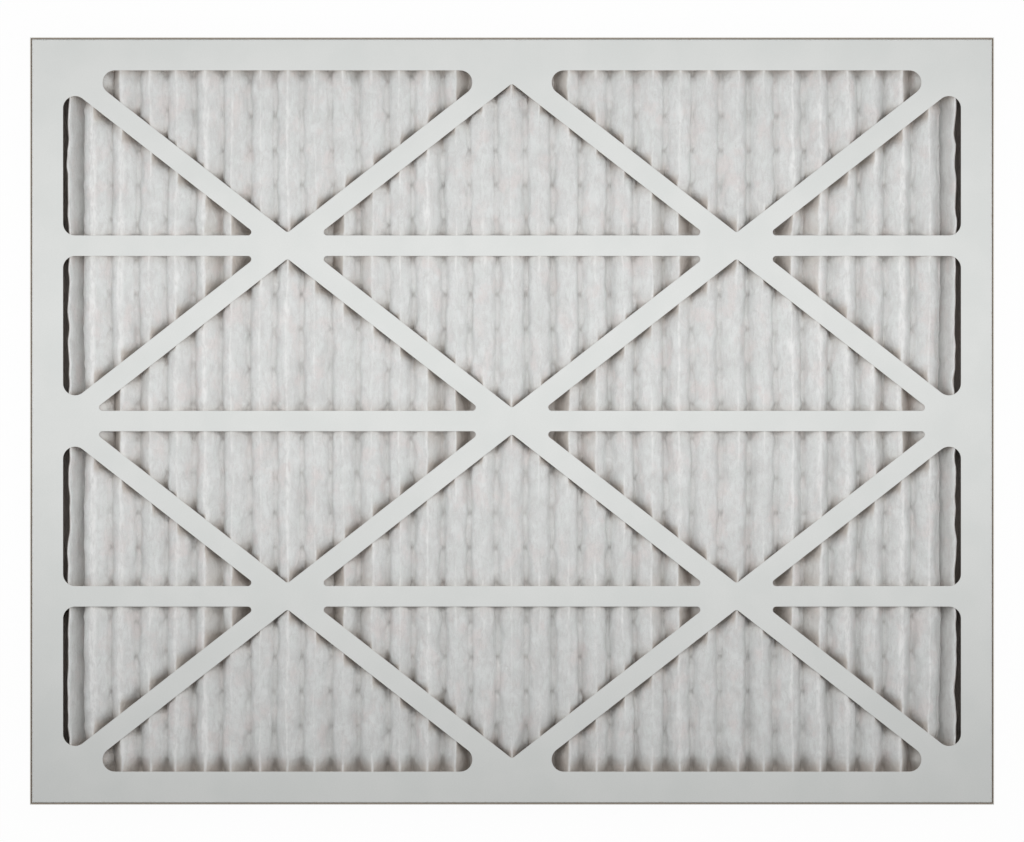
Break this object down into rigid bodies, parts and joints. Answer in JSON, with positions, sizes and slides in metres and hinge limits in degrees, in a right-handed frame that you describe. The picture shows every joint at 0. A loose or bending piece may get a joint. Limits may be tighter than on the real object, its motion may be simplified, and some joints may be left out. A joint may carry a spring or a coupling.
{
  "type": "pleated panel air filter",
  "caption": "Flat pleated panel air filter: white pleated media on an expanded-metal grid, held between two nested die-cut board trays with crossing diagonal struts.",
  "frame": {"origin": "centre of the footprint, on the surface that the back face lies on", "axes": "+X along the longer side, +Y along the pleats, +Z out of the front face"},
  "size_m": [0.6224, 0.4952, 0.0222],
  "materials": {
    "front_board": "clay-coated white beverage board, kraft brown cut edges",
    "back_board": "clay-coated white beverage board, kraft brown cut edges",
    "media": "soft white non-woven polyester and cotton fibre",
    "expanded_metal": "thin galvanised expanded metal"
  },
  "bodies": {
    "root": {"front_frame": "front_board", "back_frame": "back_board", "pleated_media": "media", "support_grid": "expanded_metal"}
  },
  "joints": []
}
